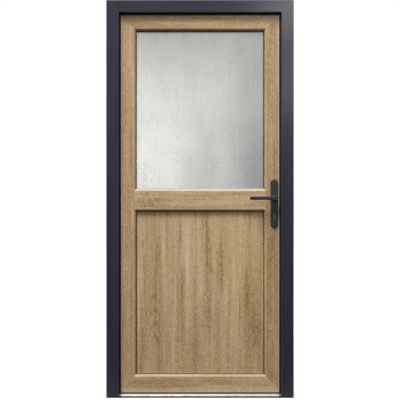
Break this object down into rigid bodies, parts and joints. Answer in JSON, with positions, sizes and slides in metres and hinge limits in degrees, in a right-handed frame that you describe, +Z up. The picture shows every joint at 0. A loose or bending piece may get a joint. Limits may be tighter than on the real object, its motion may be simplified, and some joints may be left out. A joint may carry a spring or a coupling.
{
  "type": "side door",
  "caption": "Inward-opening side door in its frame, with obscure glass above a plain panel, a lever handle and a low metal threshold.",
  "frame": {"origin": "on the underside of the threshold, in the middle of its length and of the frame's depth", "axes": "+X to the right as seen from outside, +Y into the house, +Z up"},
  "size_m": [0.98, 0.178, 2.08],
  "materials": {
    "anthracite_foil": "satin anthracite grey foil with a fine grain",
    "oak_foil": "satin light oak woodgrain foil",
    "threshold_aluminium": "satin mill aluminium",
    "black_seal": "matt black rubber",
    "brush_pile": "black brush pile",
    "obscure_glass": "obscure glass, fine pebble pattern",
    "clear_glass": "clear float glass",
    "spacer_bar": "dark grey spacer bar and sealant",
    "lock_steel": "zinc plated steel",
    "cylinder_nickel": "dark nickel",
    "handle_black": "matt black powder coat",
    "hinge_black": "black powder coat"
  },
  "bodies": {
    "frame": {"frame_jamb_left": "anthracite_foil", "frame_jamb_right": "anthracite_foil", "frame_head": "anthracite_foil", "threshold": "threshold_aluminium", "frame_seal": "black_seal", "hinge_lower_frame_half": "hinge_black", "hinge_middle_frame_half": "hinge_black", "hinge_upper_frame_half": "hinge_black", "keep_lower": "lock_steel", "keep_centre": "lock_steel", "keep_upper": "lock_steel"},
    "leaf": {"leaf_stile_left": "oak_foil", "leaf_stile_right": "oak_foil", "leaf_top_rail": "oak_foil", "leaf_bottom_rail": "oak_foil", "leaf_transom": "oak_foil", "infill_panel": "oak_foil", "leaf_seal": "black_seal", "bottom_brush": "brush_pile", "glass_outer_pane": "obscure_glass", "glass_inner_pane": "clear_glass", "glass_spacer": "spacer_bar", "glass_gasket_outside": "black_seal", "glass_gasket_inside": "black_seal", "panel_gasket_outside": "black_seal", "panel_gasket_inside": "black_seal", "lock_faceplate": "lock_steel", "lock_bolts": "lock_steel", "lock_cylinder": "cylinder_nickel", "handle_plate_outside": "handle_black", "handle_plate_inside": "handle_black", "glass_bead_left": "oak_foil", "glass_bead_right": "oak_foil", "glass_bead_top": "oak_foil", "glass_bead_bottom": "oak_foil", "panel_bead_left": "oak_foil", "panel_bead_right": "oak_foil", "panel_bead_top": "oak_foil", "panel_bead_bottom": "oak_foil", "hinge_lower_leaf_half": "hinge_black", "hinge_middle_leaf_half": "hinge_black", "hinge_upper_leaf_half": "hinge_black"},
    "lever": {"lever_outside": "handle_black", "lever_inside": "handle_black", "lever_spindle": "lock_steel"}
  },
  "joints": [
    {"name": "leaf_swing", "type": "hinge", "parent": "frame", "child": "leaf", "pos_m": [-0.47, 0.049, 1.022], "axis": [0, 0, 1], "range_deg": [0, 100]},
    {"name": "lever_turn", "type": "hinge", "parent": "leaf", "child": "lever", "pos_m": [0.391, 0.025, 1.045], "axis": [0, -1, 0], "range_deg": [0, 38], "stiffness_Nm_per_rad": 1.2, "springref_deg": -20.05}
  ]
}
